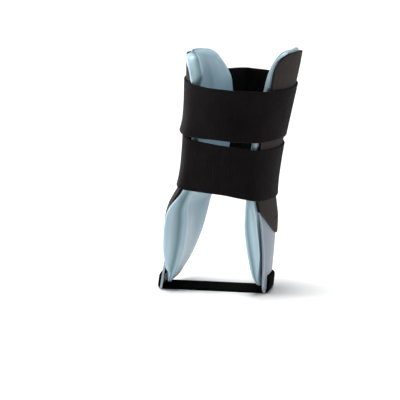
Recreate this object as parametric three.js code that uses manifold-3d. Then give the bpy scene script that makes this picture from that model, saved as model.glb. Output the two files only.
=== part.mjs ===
// Stirrup ankle brace: two moulded side shells with padded liners, held round the
// leg by two wide elastic straps and under the heel by a webbing stirrup.
// Millimetres. +X is the outer side of the leg, -Y points to the toes, +Z is up.
// The origin is on the floor, under the middle of the brace.
import * as THREE from 'three';
import { mergeVertices } from 'three/addons/utils/BufferGeometryUtils.js';
import Module from 'manifold-3d';

const wasm = await Module();
wasm.setup();

// Side shells. Girths are measured round the curve, from the shell's middle line.
const shellTop = 234.2;
const shellFoot = 0.3;
const shellSpread = 53.4;
const shellHalfGirth = 43;
const shellBendRadius = 51;
const shellWall = 2;
const frontCornerWidth = 18;
const frontCornerHeight = 19;
const rearCornerWidth = 26;
const rearCornerHeight = 24;
const topRake = 9;
const rakeStart = -0.35;
const rakeDepth = 60;
const topForward = 2.6;
const innerDrop = 6;
const footCornerWidth = 9;
const footCornerHeight = 12;
const lateralSetBack = 4.5;
const medialSetBack = 14;

// The leg stands aslant over the foot: everything leans to the outer side.
const leanDegrees = 7.4;

// Loop-faced covers on the upper outside of the shells.
const coverWall = 1.3;
const coverGap = 0.4;
const coverOverhang = 0.8;
const coverTipHeight = 56.5;
const coverShoulderHeight = 83;
const coverTipSetBack = 3;

// Padded liners.
const padTop = 238.4;
const padFoot = 5.5;
const padThickness = 15.5;
const padOverhang = 12;
const padFrontCorner = 28;
const padRearCorner = 31;
const padFootCorner = 20;
const padRimFlat = 0.22;

// Elastic straps.
const strapWidth = 50;
const strapWall = 1.6;
const lowerStrapBase = 98;
const strapSpacing = 5.4;
const upperStrapTilt = -0.045;
const lowerStrapTilt = -0.106;
const frontBulge = 13.4;
const rearBulge = 12;
const lowerFrontLift = 2;
const strapSlack = 0.15;
const strapCornerClearance = 0.8;
const strapCornerPast = 4.5;
const tabWall = 1.4;
const tabMargin = 2;

// Heel stirrup, threaded through a slot low in each shell.
const heelStrapWidth = 32;
const heelStrapWall = 2.4;
const heelStrapRise = 60;
const heelBendRadius = 3.5;
const slotBendRadius = 3;
const heelFade = 12;
const slotHeight = 5.6;
const slotFloor = 12.4;
const slotEndClearance = 1;
const recessHeight = 4.2;

// Clearance between pieces that lie against each other.
const gap = 0.3;

// Columns across a side piece, spacing of the rows of points up it, and rows
// round a corner and above a cover's lower edge.
const sideColumns = 10;
const rowSpacing = 10;
const cornerRows = 5;
const edgeRows = 4;

// Turns round the leg, in degrees from the outer side towards the heel: where
// the covers' edges come, where a strap starts, how far it laps over its own
// start, and the hook tab's whole and sewn lengths.
const turnStep = 6;
const cornerTurn = 48;
const lapStart = 108;
const lapTurn = 48;
const tabTurn = 42;
const tabSewnTurn = 15;

// How each shell changes with height, as shares of shellTop, shellSpread,
// shellHalfGirth and shellBendRadius. Inner is the inner shell's spread. Turn is
// how much of its set back is reached, and forward how much of topForward.
const shellForm = [
  { height: 0.0, spread: 0.983, inner: 0.96, girth: 0.565, bend: 2.16, turn: 0, forward: 0 },
  { height: 0.06, spread: 0.974, inner: 0.955, girth: 0.577, bend: 2.06, turn: 0, forward: 0 },
  { height: 0.145, spread: 0.964, inner: 0.952, girth: 0.66, bend: 1.765, turn: 0.18, forward: 0 },
  { height: 0.23, spread: 0.951, inner: 0.985, girth: 0.756, bend: 1.47, turn: 0.42, forward: 0 },
  { height: 0.272, spread: 0.94, inner: 1.01, girth: 0.802, bend: 1.373, turn: 0.56, forward: 0 },
  { height: 0.315, spread: 0.918, inner: 1.012, girth: 0.837, bend: 1.294, turn: 0.7, forward: 0 },
  { height: 0.357, spread: 0.874, inner: 0.982, girth: 0.86, bend: 1.255, turn: 0.82, forward: 0 },
  { height: 0.391, spread: 0.84, inner: 0.925, girth: 0.879, bend: 1.225, turn: 0.9, forward: 0 },
  { height: 0.425, spread: 0.823, inner: 0.862, girth: 0.902, bend: 1.196, turn: 0.96, forward: 0 },
  { height: 0.493, spread: 0.8165, inner: 0.828, girth: 0.95, bend: 1.157, turn: 1, forward: 0 },
  { height: 0.6, spread: 0.8315, inner: 0.843, girth: 1.0, bend: 1.108, turn: 1, forward: 0 },
  { height: 0.731, spread: 0.88, inner: 0.895, girth: 1.0, bend: 1.039, turn: 1, forward: 0 },
  { height: 0.842, spread: 0.925, inner: 0.945, girth: 0.975, bend: 1.0, turn: 1, forward: 0.35 },
  { height: 0.935, spread: 0.962, inner: 0.995, girth: 0.98, bend: 0.99, turn: 1, forward: 1 },
  { height: 1.0, spread: 0.975, inner: 1.02, girth: 0.98, bend: 0.99, turn: 1, forward: 1 },
];

// Thickness of a pad and the overhang of its rim with height, as shares of
// padTop, padThickness and padOverhang.
const padForm = [
  { height: 0.02, thickness: 0.3, rim: 0.4 },
  { height: 0.05, thickness: 0.44, rim: 0.5 },
  { height: 0.126, thickness: 0.71, rim: 0.75 },
  { height: 0.21, thickness: 0.9, rim: 1.0 },
  { height: 0.314, thickness: 1.0, rim: 1.0 },
  { height: 0.36, thickness: 0.94, rim: 0.9 },
  { height: 0.407, thickness: 0.84, rim: 0.62 },
  { height: 0.5, thickness: 0.68, rim: 0.6 },
  { height: 0.616, thickness: 0.58, rim: 0.67 },
  { height: 0.84, thickness: 0.58, rim: 0.6 },
  { height: 0.93, thickness: 0.52, rim: 0.45 },
  { height: 0.97, thickness: 0.41, rim: 0.45 },
  { height: 1.0, thickness: 0.24, rim: 0.4 },
];

// How far each strap bows out past the shells' edges, as shares of frontBulge
// and rearBulge. Across is 0 at a strap's lower edge and 1 at its upper edge.
const upperStrapForm = [
  { across: 0, front: 0.62, rear: 0.8, lift: 0 },
  { across: 1, front: 1, rear: 1, lift: 0 },
];
const lowerStrapForm = [
  { across: 0, front: 0.3, rear: 0.4, lift: 1 },
  { across: 1, front: 0.3, rear: 0.7, lift: 0 },
];

const shellPlastic = new THREE.MeshStandardMaterial({ color: 0x939ca6, roughness: 0.45, metalness: 0 });
const coverCloth = new THREE.MeshStandardMaterial({ color: 0x3c3836, roughness: 0.9, metalness: 0 });
const padFilm = new THREE.MeshStandardMaterial({ color: 0xacc5ce, roughness: 0.5, metalness: 0 });
const strapElastic = new THREE.MeshStandardMaterial({ color: 0x1c191b, roughness: 0.95, metalness: 0 });
const heelWebbing = new THREE.MeshStandardMaterial({ color: 0x0d0d0d, roughness: 0.85, metalness: 0 });

// A column of a table at a place along it, on a smooth curve through its rows.
function readTable(rows, along, column, place) {
  const last = rows.length - 1;
  const t = Math.min(Math.max(place, rows[0][along]), rows[last][along]);
  let i = 0;
  while (i < last - 1 && t > rows[i + 1][along]) i += 1;
  const slope = (k) => {
    const before = rows[Math.max(k - 1, 0)];
    const after = rows[Math.min(k + 1, last)];
    return (after[column] - before[column]) / (after[along] - before[along]);
  };
  const span = rows[i + 1][along] - rows[i][along];
  const s = (t - rows[i][along]) / span;
  const rise = s * s * (3 - 2 * s);
  return (
    rows[i][column] * (1 - rise) +
    rows[i + 1][column] * rise +
    slope(i) * span * s * (1 - s) ** 2 -
    slope(i + 1) * span * s * s * (1 - s)
  );
}

// A shell's outer face at a height: reach from the middle plane, half girth
// and radius of its horizontal curve. The inner ankle bone sits higher and
// stands out more than the outer one.
function shellAt(side, z) {
  const height = z / shellTop;
  return {
    reach: shellSpread * readTable(shellForm, 'height', side > 0 ? 'spread' : 'inner', height),
    girth: shellHalfGirth * readTable(shellForm, 'height', 'girth', height),
    radius: shellBendRadius * readTable(shellForm, 'height', 'bend', height),
  };
}

// Height of a side's top: the inner side ends lower.
function topOf(side, top) {
  return side > 0 ? top : top - innerDrop;
}

// How far a shell's middle line is turned back round its curve at a height. It
// comes forward near the top, and the inner shell's is turned back more.
function setBack(side, z) {
  const height = z / shellTop;
  const forward = topForward * readTable(shellForm, 'height', 'forward', height);
  if (side > 0) return lateralSetBack - forward;
  const turn = readTable(shellForm, 'height', 'turn', height);
  return lateralSetBack + (medialSetBack - lateralSetBack) * turn - forward;
}

// A point on a side of the brace: around is the distance round the shell's
// curve, depth is measured inwards from the shell's outer face.
function sidePoint(side, around, z, depth) {
  const { reach, radius } = shellAt(side, z);
  const angle = (around + setBack(side, z)) / radius;
  const x = reach - radius + (radius - depth) * Math.cos(angle);
  return new THREE.Vector3(side * x, (radius - depth) * Math.sin(angle), z);
}

// Narrowing of a rounded outline near its end, for an elliptic corner.
function cornerInset(distance, width, height) {
  if (distance >= height) return 0;
  const run = 1 - Math.max(distance, 0) / height;
  return width * (1 - Math.sqrt(1 - run * run));
}

// Place round the curve at share u, from -1 at the front edge to 1 at the rear,
// of a piece that stands out past the shell's girth by the overhang.
function acrossTop(side, u, z, overhang, top, frontCorner, rearCorner, foot) {
  const half = shellAt(side, z).girth + overhang - foot;
  const front = cornerInset(top - z, frontCornerWidth, frontCorner) - half;
  const rear = half - cornerInset(top - z, rearCornerWidth, rearCorner);
  return front + ((u + 1) / 2) * (rear - front);
}

// How far a row of points sinks towards the rear. It grows up to the top, which
// slopes down behind.
function rake(side, around, z) {
  const top = topOf(side, shellTop);
  const share = Math.max(around / shellAt(side, z).girth - rakeStart, 0) / (1 - rakeStart);
  return topRake * share ** 1.3 * ease(z, top - rakeDepth, top);
}

// Heights of the rows of points from low to high: close together round the
// corners at the ends, and shared by all pieces between them.
function rowHeights(low, high, lowCorner, highCorner) {
  const rows = [];
  for (let i = 0; i <= cornerRows; i += 1) {
    const turn = ((i / cornerRows) * Math.PI) / 2;
    rows.push(low + lowCorner * (1 - Math.cos(turn)));
  }
  const first = low + lowCorner;
  const last = high - highCorner;
  for (let z = rowSpacing; z < last - rowSpacing / 3; z += rowSpacing) {
    if (z > first + rowSpacing / 3) rows.push(z);
  }
  for (let i = cornerRows; i >= 0; i -= 1) {
    const turn = ((i / cornerRows) * Math.PI) / 2;
    rows.push(high - highCorner * (1 - Math.cos(turn)));
  }
  return rows;
}

// Share of the half width at step u, with steps closer together near the edges.
function crowdEdges(u) {
  return 1.3 * u - 0.3 * u ** 3;
}

// A closed block whose points are placed by a function of u from -1 to 1,
// v from 0 to 1 and w from 0 to 1. Mirrored blocks are turned right side out.
function shapedBlock(uSteps, vSteps, wSteps, place) {
  const block = new THREE.BoxGeometry(2, 1, 1, uSteps, vSteps, wSteps);
  block.deleteAttribute('normal');
  block.deleteAttribute('uv');
  const geometry = mergeVertices(block, 1e-5);
  const position = geometry.attributes.position;
  for (let i = 0; i < position.count; i += 1) {
    const u = position.getX(i);
    const v = position.getY(i) + 0.5;
    const w = position.getZ(i) + 0.5;
    const p = place(u, v, w);
    position.setXYZ(i, p.x, p.y, p.z);
  }
  if (signedVolume(geometry) < 0) turnInsideOut(geometry);
  geometry.computeVertexNormals();
  return geometry;
}

function signedVolume(geometry) {
  const { array } = geometry.attributes.position;
  const index = geometry.index.array;
  const corner = (i) => new THREE.Vector3().fromArray(array, 3 * index[i]);
  let volume = 0;
  for (let i = 0; i < index.length; i += 3) {
    volume += corner(i).dot(corner(i + 1).cross(corner(i + 2))) / 6;
  }
  return volume;
}

function turnInsideOut(geometry) {
  const index = geometry.index.array;
  for (let i = 0; i < index.length; i += 3) {
    [index[i + 1], index[i + 2]] = [index[i + 2], index[i + 1]];
  }
}

function toSolid(geometry) {
  return new wasm.Manifold(new wasm.Mesh({
    numProp: 3,
    vertProperties: new Float32Array(geometry.attributes.position.array),
    triVerts: new Uint32Array(geometry.index.array),
  }));
}

function toGeometry(solid) {
  const mesh = solid.getMesh();
  const geometry = new THREE.BufferGeometry();
  geometry.setAttribute('position', new THREE.BufferAttribute(new Float32Array(mesh.vertProperties), 3));
  geometry.setIndex(new THREE.BufferAttribute(new Uint32Array(mesh.triVerts), 1));
  geometry.computeVertexNormals();
  return geometry;
}

// A box that cuts through one shell's wall between two heights, as wide as the
// heel strap and its end clearance.
function wallCutter(side, low, high) {
  const width = heelStrapWidth + 2 * slotEndClearance;
  const box = new THREE.BoxGeometry(shellSpread, width, high - low);
  box.translate(side * shellSpread, lateralSetBack, (low + high) / 2);
  box.deleteAttribute('normal');
  box.deleteAttribute('uv');
  return toSolid(mergeVertices(box));
}

// Side shell: a curved plate with rounded ends, a slot for the heel strap and a
// recess under it where the strap turns round the shell's foot.
function makeShell(side) {
  const top = topOf(side, shellTop);
  const rows = rowHeights(shellFoot, top, footCornerHeight, rearCornerHeight);
  const plate = shapedBlock(sideColumns, rows.length - 1, 1, (u, v, w) => {
    const z = rows[Math.round(v * (rows.length - 1))];
    const foot = cornerInset(z - shellFoot, footCornerWidth, footCornerHeight);
    const around = acrossTop(side, u, z, 0, top, frontCornerHeight, rearCornerHeight, foot);
    return sidePoint(side, around, z - rake(side, around, z), w * shellWall);
  });
  const slot = wallCutter(side, slotFloor, slotFloor + slotHeight);
  const recess = wallCutter(side, -shellFoot - gap, recessHeight);
  return toGeometry(toSolid(plate).subtract(slot).subtract(recess));
}

// Height of the cover's lower edge: a tongue that points down the shell.
function coverEdge(u) {
  const shoulder = shellAt(1, coverShoulderHeight).girth;
  const offset = (u * shoulder - coverTipSetBack) / (shoulder + coverTipSetBack);
  return coverTipHeight + (coverShoulderHeight - coverTipHeight) * offset * offset;
}

// Cover: a thick facing bonded to the outside of the shell. Its lowest rows
// spread out from its curved lower edge to the first row above the shoulder.
function makeCover(side) {
  const top = topOf(side, shellTop);
  const first = rowSpacing * Math.ceil(coverShoulderHeight / rowSpacing + 0.3);
  const rows = rowHeights(first, top, 0, rearCornerHeight).filter((z, i, all) => i === 0 || z > all[i - 1]);
  return shapedBlock(sideColumns, edgeRows + rows.length - 1, 1, (u, v, w) => {
    const row = Math.round(v * (edgeRows + rows.length - 1));
    const edge = coverEdge(u);
    const z = row < edgeRows ? edge + ((first - edge) * row) / edgeRows : rows[row - edgeRows];
    const around = acrossTop(side, u, z, coverOverhang, top, frontCornerHeight, rearCornerHeight, 0);
    const height = z - rake(side, around, z) + coverOverhang * ease(z, top - rearCornerHeight, top);
    return sidePoint(side, around, height, -coverGap - w * coverWall);
  });
}

// A smooth step from 0 to 1 as value goes from low to high.
function ease(value, low, high) {
  const t = Math.min(Math.max((value - low) / (high - low), 0), 1);
  return t * t * (3 - 2 * t);
}

// Depth of a pad's back below the shell's outer face: it lies on the shell, and
// on the heel strap's end where that is between them.
function padBack(z) {
  const overStrap = 1 - ease(z, heelStrapRise + heelFade / 2, heelStrapRise + 2 * heelFade);
  return shellWall + gap + overStrap * (heelStrapWall + 3 * gap);
}

// Pad: a plump liner whose flat back follows the shell, with a blunt round rim.
function makePad(side) {
  const top = topOf(side, padTop);
  const rows = rowHeights(padFoot, top, padFootCorner, padRearCorner);
  return shapedBlock(sideColumns, rows.length - 1, 2, (u, v, w) => {
    const z = rows[Math.round(v * (rows.length - 1))];
    const share = crowdEdges(u);
    const foot = cornerInset(z - padFoot, padFootCorner, padFootCorner);
    const rim = padOverhang * readTable(padForm, 'height', 'rim', z / padTop);
    const around = acrossTop(side, share, z, rim, top, padFrontCorner, padRearCorner, foot);
    const thickness = padThickness * readTable(padForm, 'height', 'thickness', z / padTop);
    const backFill = padRimFlat + (1 - padRimFlat) * Math.sqrt(1 - share ** 10);
    const frontFill = padRimFlat + (1 - padRimFlat) * Math.sqrt(1 - share ** 4);
    const middle = 0.42;
    const depth = w < 0.5
      ? middle - middle * backFill * (1 - 2 * w)
      : middle + (1 - middle) * frontFill * (2 * w - 1);
    const height = z - rake(side, around, z);
    return sidePoint(side, around, height, padBack(height) + thickness * depth);
  });
}

// Point at share t of the arc from a to b that bows out to its right by bulge.
function arcPoint(a, b, bulge, t) {
  const chord = b.clone().sub(a);
  const half = chord.length() / 2;
  const radius = (half * half + bulge * bulge) / (2 * bulge);
  const lean = Math.asin(half / radius) * (2 * t - 1);
  const along = half + radius * Math.sin(lean);
  const out = radius * Math.cos(lean) - (radius - bulge);
  const unit = chord.normalize();
  return new THREE.Vector2(a.x + along * unit.x + out * unit.y, a.y + along * unit.y - out * unit.x);
}

// The angle round a side's curve where a strap leaves the edge of the cover.
// End is -1 at the front and 1 at the rear.
function cornerAngle(side, end, z) {
  const { girth, radius } = shellAt(side, z);
  return (end * (girth + coverOverhang + strapCornerPast) + setBack(side, z)) / radius;
}

// A point of a strap's inner face against a side, at an angle round its curve.
function strapSide(side, angle, lift, z) {
  const { reach, radius } = shellAt(side, z);
  const out = radius + coverWall + coverGap + gap + strapSlack + lift;
  return new THREE.Vector2(side * (reach - radius + out * Math.cos(angle)), out * Math.sin(angle));
}

// A strap's inner face seen from above: it hugs both covers and bows out across
// the front and the rear. Turn is in degrees, with the corners at fixed turns.
function strapLoop(turn, z, frontSag, rearSag) {
  const whole = ((turn % 360) + 360) % 360;
  const side = whole < 90 || whole > 270 ? 1 : -1;
  const fromSide = side > 0 ? ((whole + 180) % 360) - 180 : 180 - whole;
  const corner = (at, end) => strapSide(at, cornerAngle(at, end, z), strapCornerClearance, z);
  if (Math.abs(fromSide) <= cornerTurn) {
    const share = Math.abs(fromSide) / cornerTurn;
    const lift = strapCornerClearance * ease(share, 0.5, 1);
    const middle = setBack(side, z) / shellAt(side, z).radius;
    const edge = cornerAngle(side, Math.sign(fromSide) || 1, z);
    return strapSide(side, middle + (edge - middle) * share, lift, z);
  }
  const across = 180 - 2 * cornerTurn;
  if (whole < 180) return arcPoint(corner(1, 1), corner(-1, 1), rearSag, (whole - cornerTurn) / across);
  return arcPoint(corner(-1, -1), corner(1, -1), frontSag, (whole - 180 - cornerTurn) / across);
}

// The two straps, each with its place, tilt and form.
const upperStrap = {
  base: lowerStrapBase + strapWidth + strapSpacing,
  tilt: upperStrapTilt,
  form: upperStrapForm,
};
const lowerStrap = { base: lowerStrapBase, tilt: lowerStrapTilt, form: lowerStrapForm };

// A point on one of a strap's rows: turn round the leg, share across its width,
// distance off its inner face.
function strapRowPoint(strap, turn, across, off) {
  const frontSag = frontBulge * readTable(strap.form, 'across', 'front', across);
  const rearSag = rearBulge * readTable(strap.form, 'across', 'rear', across);
  const flatZ = strap.base + across * strapWidth;
  const rough = strapLoop(turn, flatZ, frontSag, rearSag);
  const forward = Math.max(-rough.y / rough.length(), 0);
  const lift = lowerFrontLift * readTable(strap.form, 'across', 'lift', across) * forward ** 4;
  const z = flatZ + strap.tilt * rough.x + lift;
  const here = strapLoop(turn, z, frontSag, rearSag);
  const ahead = strapLoop(turn + turnStep / 4, z, frontSag, rearSag);
  const behind = strapLoop(turn - turnStep / 4, z, frontSag, rearSag);
  const before = here.clone().sub(behind).normalize();
  const after = ahead.sub(here).normalize();
  const normal = new THREE.Vector2(before.y + after.y, -before.x - after.x).normalize();
  const spread = off / Math.sqrt((1 + before.dot(after)) / 2);
  return new THREE.Vector3(here.x + spread * normal.x, here.y + spread * normal.y, z);
}

// A point anywhere on a strap. It is straight from its edges to its middle row.
function strapPoint(strap, turn, across, off) {
  const row = across < 0.5 ? 0 : 0.5;
  const low = strapRowPoint(strap, turn, row, off);
  const high = strapRowPoint(strap, turn, row + 0.5, off);
  return low.lerp(high, (across - row) / 0.5);
}

// How far a strap's inner face stands off the covers: it laps over its start.
function lapOffset(turned) {
  return (strapWall + gap) * ease(turned, 360 - 2 * turnStep, 360);
}

function makeStrap(strap) {
  const steps = (360 + lapTurn) / turnStep;
  return shapedBlock(steps, 2, 1, (u, v, w) => {
    const turned = ((u + 1) / 2) * (360 + lapTurn);
    return strapPoint(strap, lapStart + turned, v, lapOffset(turned) + w * strapWall);
  });
}

// Hook tab: sewn on the strap's lapped end and pressed down past it.
function makeTab(strap) {
  const steps = (2 * tabTurn) / turnStep;
  return shapedBlock(steps, 2, 1, (u, v, w) => {
    const past = ((u + 1) / 2) * tabTurn - tabSewnTurn;
    const raised = 1 - ease(past, turnStep / 2, 2 * turnStep);
    const inset = cornerInset(tabTurn - tabSewnTurn - past, 2 * tabMargin, turnStep) + tabMargin;
    const across = (inset + v * (strapWidth - 2 * inset)) / strapWidth;
    const off = strapWall + gap + raised * (strapWall + gap) + w * tabWall;
    return strapPoint(strap, lapStart + lapTurn + past, across, off);
  });
}

// The heel strap's middle line on one side, from the middle of the sole out
// round the shell's foot, in through the slot and up behind the pad.
function heelPath(side) {
  const half = heelStrapWall / 2;
  const outside = shellAt(side, recessHeight).reach + gap + half;
  const turnTop = slotFloor + gap / 2;
  const inside = outside - 2 * slotBendRadius;
  const path = new THREE.Path();
  path.moveTo(0, half);
  path.lineTo(outside - heelBendRadius - heelStrapWall, half);
  path.lineTo(outside - heelBendRadius, half);
  path.absarc(outside - heelBendRadius, half + heelBendRadius, heelBendRadius, -Math.PI / 2, 0, false);
  path.lineTo(outside, turnTop);
  path.absarc(outside - slotBendRadius, turnTop, slotBendRadius, 0, Math.PI / 2, false);
  path.absarc(inside + slotBendRadius, turnTop + 2 * slotBendRadius, slotBendRadius, -Math.PI / 2, -Math.PI, true);
  const riseStart = turnTop + 2 * slotBendRadius + gap;
  const riseSteps = 5;
  for (let i = 1; i <= riseSteps; i += 1) {
    const z = riseStart + ((heelStrapRise - riseStart) * i) / riseSteps;
    path.lineTo(shellAt(side, z).reach - shellWall - 2 * gap - half, z);
  }
  return path.getPoints(3).filter((p, i, all) => i === 0 || p.distanceTo(all[i - 1]) > gap / 3);
}

// Heel strap: the paths of both sides, as one band.
function makeHeelStrap() {
  const outer = heelPath(1);
  const inner = heelPath(-1).slice(1).map((p) => new THREE.Vector2(-p.x, p.y)).reverse();
  const line = [...inner, ...outer];
  const steps = line.length - 1;
  return shapedBlock(steps, 4, 1, (u, v, w) => {
    const i = Math.round(((u + 1) / 2) * steps);
    const before = line[Math.max(i - 1, 0)];
    const after = line[Math.min(i + 1, steps)];
    const along = after.clone().sub(before).normalize();
    const off = (w - 0.5) * heelStrapWall;
    const x = line[i].x - along.y * off;
    const z = line[i].y + along.x * off;
    const across = (v - 0.5) * heelStrapWidth;
    const y = lateralSetBack + across;
    const { radius } = shellAt(1, Math.max(line[i].y, recessHeight));
    const follow = ease(line[i].y, heelStrapWall / 2, heelStrapWall / 2 + heelBendRadius);
    const curve = follow * (radius - Math.sqrt(radius * radius - y * y));
    return new THREE.Vector3(x - Math.sign(line[i].x) * curve, y, z);
  });
}

const brace = new THREE.Group();

function addPiece(name, geometry, material) {
  const slope = Math.tan(THREE.MathUtils.degToRad(leanDegrees));
  geometry.applyMatrix4(new THREE.Matrix4().makeShear(0, 0, 0, 0, slope, 0));
  const mesh = new THREE.Mesh(geometry, material);
  mesh.name = name;
  brace.add(mesh);
}

for (const [name, side] of [['lateral', 1], ['medial', -1]]) {
  addPiece(`${name}_shell`, makeShell(side), shellPlastic);
  addPiece(`${name}_cover`, makeCover(side), coverCloth);
  addPiece(`${name}_pad`, makePad(side), padFilm);
}
addPiece('upper_strap', makeStrap(upperStrap), strapElastic);
addPiece('lower_strap', makeStrap(lowerStrap), strapElastic);
addPiece('upper_strap_tab', makeTab(upperStrap), strapElastic);
addPiece('lower_strap_tab', makeTab(lowerStrap), strapElastic);
addPiece('heel_strap', makeHeelStrap(), heelWebbing);

export default brace;
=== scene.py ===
# %% [markdown]
# # A stirrup ankle brace
# The brace is two moulded side shells with padded liners, held round the ankle by two wide elastic
# straps and under the heel by a webbing stirrup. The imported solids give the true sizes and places.
# This lesson builds the fine surface of each piece over them, then lights and frames the result.

import math

import bpy
import numpy as np
from mathutils import Matrix, Vector


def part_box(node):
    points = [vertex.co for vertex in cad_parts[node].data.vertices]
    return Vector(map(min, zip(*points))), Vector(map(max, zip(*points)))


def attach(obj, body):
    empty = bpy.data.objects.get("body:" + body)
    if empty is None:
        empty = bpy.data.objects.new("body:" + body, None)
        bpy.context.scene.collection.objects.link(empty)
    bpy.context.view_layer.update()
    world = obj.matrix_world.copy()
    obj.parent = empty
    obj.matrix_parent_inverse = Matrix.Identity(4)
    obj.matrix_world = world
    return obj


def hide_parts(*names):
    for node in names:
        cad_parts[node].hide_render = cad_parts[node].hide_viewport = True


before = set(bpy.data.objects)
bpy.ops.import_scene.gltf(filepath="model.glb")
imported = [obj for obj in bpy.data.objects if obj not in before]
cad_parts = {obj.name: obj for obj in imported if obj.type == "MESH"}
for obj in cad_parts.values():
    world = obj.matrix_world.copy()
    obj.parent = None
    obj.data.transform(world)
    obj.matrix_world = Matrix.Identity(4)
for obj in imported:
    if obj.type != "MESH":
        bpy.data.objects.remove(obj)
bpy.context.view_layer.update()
BODY = "root"
MM = 0.001
print("nodes:", sorted(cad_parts))

# %% [markdown]
# ## Sizes
# Lengths in this lesson are millimetres until a mesh is filled in. Tops and feet are read from the
# frame, so the pieces stay with their solids. The rest are the walls, corners and clearances that the
# solids were made with: a wall is too thin, and a corner too local, to read from a box.

# %% Sizes


def box_mm(node):
    """Lowest and highest corner of a node, in millimetres."""
    low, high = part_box(node)
    return np.array(low) / MM, np.array(high) / MM


SHELL_TOP = box_mm("lateral_shell")[1][2]
SHELL_FOOT = box_mm("lateral_shell")[0][2]
SHELL_SPREAD = 53.4
PAD_TOP = box_mm("lateral_pad")[1][2]
PAD_FOOT = box_mm("lateral_pad")[0][2]
SHELL_HALF_GIRTH = 43.0
SHELL_BEND_RADIUS = 51.0
SHELL_WALL = 2.0
FRONT_CORNER_WIDTH = 18.0
FRONT_CORNER_HEIGHT = 19.0
REAR_CORNER_WIDTH = 26.0
REAR_CORNER_HEIGHT = 24.0
TOP_RAKE = 9.0
RAKE_START = -0.35
RAKE_DEPTH = 60.0
RAKE_POWER = 1.3
TOP_FORWARD = 2.6
INNER_DROP = 6.0
FOOT_CORNER_WIDTH = 9.0
FOOT_CORNER_HEIGHT = 12.0
LATERAL_SET_BACK = 4.5
MEDIAL_SET_BACK = 14.0
SLOT_LOW = 12.4
SLOT_HIGH = 18.0
RECESS_HEIGHT = 4.2
SLOT_HALF_WIDTH = 17.0
COVER_WALL = 1.3
COVER_GAP = 0.4
COVER_OVERHANG = 0.8
COVER_TIP_HEIGHT = 56.5
COVER_SHOULDER_HEIGHT = 83.0
COVER_TIP_SET_BACK = 3.0
PAD_THICKNESS = 15.5
PAD_OVERHANG = 12.0
PAD_FRONT_CORNER = 28.0
PAD_REAR_CORNER = 31.0
PAD_FOOT_CORNER = 20.0
STRAP_WIDTH = 50.0
STRAP_WALL = 1.6
LOWER_STRAP_BASE = 98.0
UPPER_STRAP_BASE = 153.4
HEEL_STRAP_WIDTH = 32.0
HEEL_STRAP_WALL = 2.4
HEEL_STRAP_RISE = 60.0
GAP = 0.3
LEAN = math.tan(math.radians(7.4))
print("shell top", round(SHELL_TOP, 1), "spread", round(SHELL_SPREAD, 1), "pad top", round(PAD_TOP, 1))

# %% [markdown]
# ## The curve of a side
# On the real brace each shell is shaped to the ankle: nearly flat beside the heel, pinched in above
# the ankle bone, then opening with the calf. A stack of circular arcs does that: at each height the
# arc has a reach from the middle plane, a half girth and a radius. A table holds those at chosen
# heights as shares of the main sizes, and a smooth curve runs through its rows. Spread is the outer
# side's reach and inner the inner side's. Turn is how much of its set back a side has reached, and
# forward how much of its way back to the front. A second table gives the pads' thickness, the rim that
# they stand out past the shell, and how far their outer lobe curls.

# %% The side tables


def by_column(names, *rows):
    """A table's columns by name, from its rows."""
    return dict(zip(names.split(), np.array(rows, float).T))


SHELL_FORM = by_column(
    "height spread inner girth bend turn forward",
    (0, 0.983, 0.96, 0.565, 2.16, 0, 0),
    (0.06, 0.974, 0.955, 0.577, 2.06, 0, 0),
    (0.145, 0.964, 0.952, 0.66, 1.765, 0.18, 0),
    (0.23, 0.951, 0.985, 0.756, 1.47, 0.42, 0),
    (0.272, 0.94, 1.01, 0.802, 1.373, 0.56, 0),
    (0.315, 0.918, 1.012, 0.837, 1.294, 0.7, 0),
    (0.357, 0.874, 0.982, 0.86, 1.255, 0.82, 0),
    (0.391, 0.84, 0.925, 0.879, 1.225, 0.9, 0),
    (0.425, 0.823, 0.862, 0.902, 1.196, 0.96, 0),
    (0.493, 0.8165, 0.828, 0.95, 1.157, 1, 0),
    (0.6, 0.8315, 0.843, 1, 1.108, 1, 0),
    (0.731, 0.88, 0.895, 1, 1.039, 1, 0),
    (0.842, 0.925, 0.945, 0.975, 1, 1, 0.35),
    (0.935, 0.962, 0.995, 0.98, 0.99, 1, 1),
    (1, 0.975, 1.02, 0.98, 0.99, 1, 1),
)
PAD_FORM = by_column(
    "height thickness rim outer_curl inner_curl",
    (0.02, 0.3, 0.4, -0.2, 0),
    (0.05, 0.44, 0.5, -0.2, 0.2),
    (0.126, 0.71, 0.75, -0.2, 0.7),
    (0.21, 0.9, 1, -0.2, 0.95),
    (0.314, 1, 1, -0.2, 1),
    (0.36, 0.94, 0.9, -0.2, 0.9),
    (0.407, 0.84, 0.62, 0, 0.6),
    (0.5, 0.68, 0.6, 0.1, 0.2),
    (0.616, 0.58, 0.67, 0.1, 0.2),
    (0.84, 0.58, 0.6, 0.1, 0.8),
    (0.93, 0.52, 0.45, 0.1, 1.2),
    (0.97, 0.41, 0.45, 0.1, 0.7),
    (1, 0.24, 0.4, 0.1, 0.2),
)


def read_table(table, column, place):
    """Smooth curve through a table's rows: a cubic between each two rows, whose slope at a row is
    that of the straight line between the rows on either side of it."""
    x = table["height"]
    y = table[column]
    t = np.clip(place, x[0], x[-1])
    i = np.clip(np.searchsorted(x, t) - 1, 0, len(x) - 2)
    rows = np.arange(len(x))
    before = np.maximum(rows - 1, 0)
    after = np.minimum(rows + 1, len(x) - 1)
    slope = (y[after] - y[before]) / (x[after] - x[before])
    span = x[i + 1] - x[i]
    s = (t - x[i]) / span
    rise = s * s * (3 - 2 * s)
    bend = slope[i] * span * s * (1 - s) ** 2 - slope[i + 1] * span * s * s * (1 - s)
    return y[i] * (1 - rise) + y[i + 1] * rise + bend


print("spread at mid height:", round(float(read_table(SHELL_FORM, "spread", 0.5)), 3))

# %% Places on a side


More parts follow.
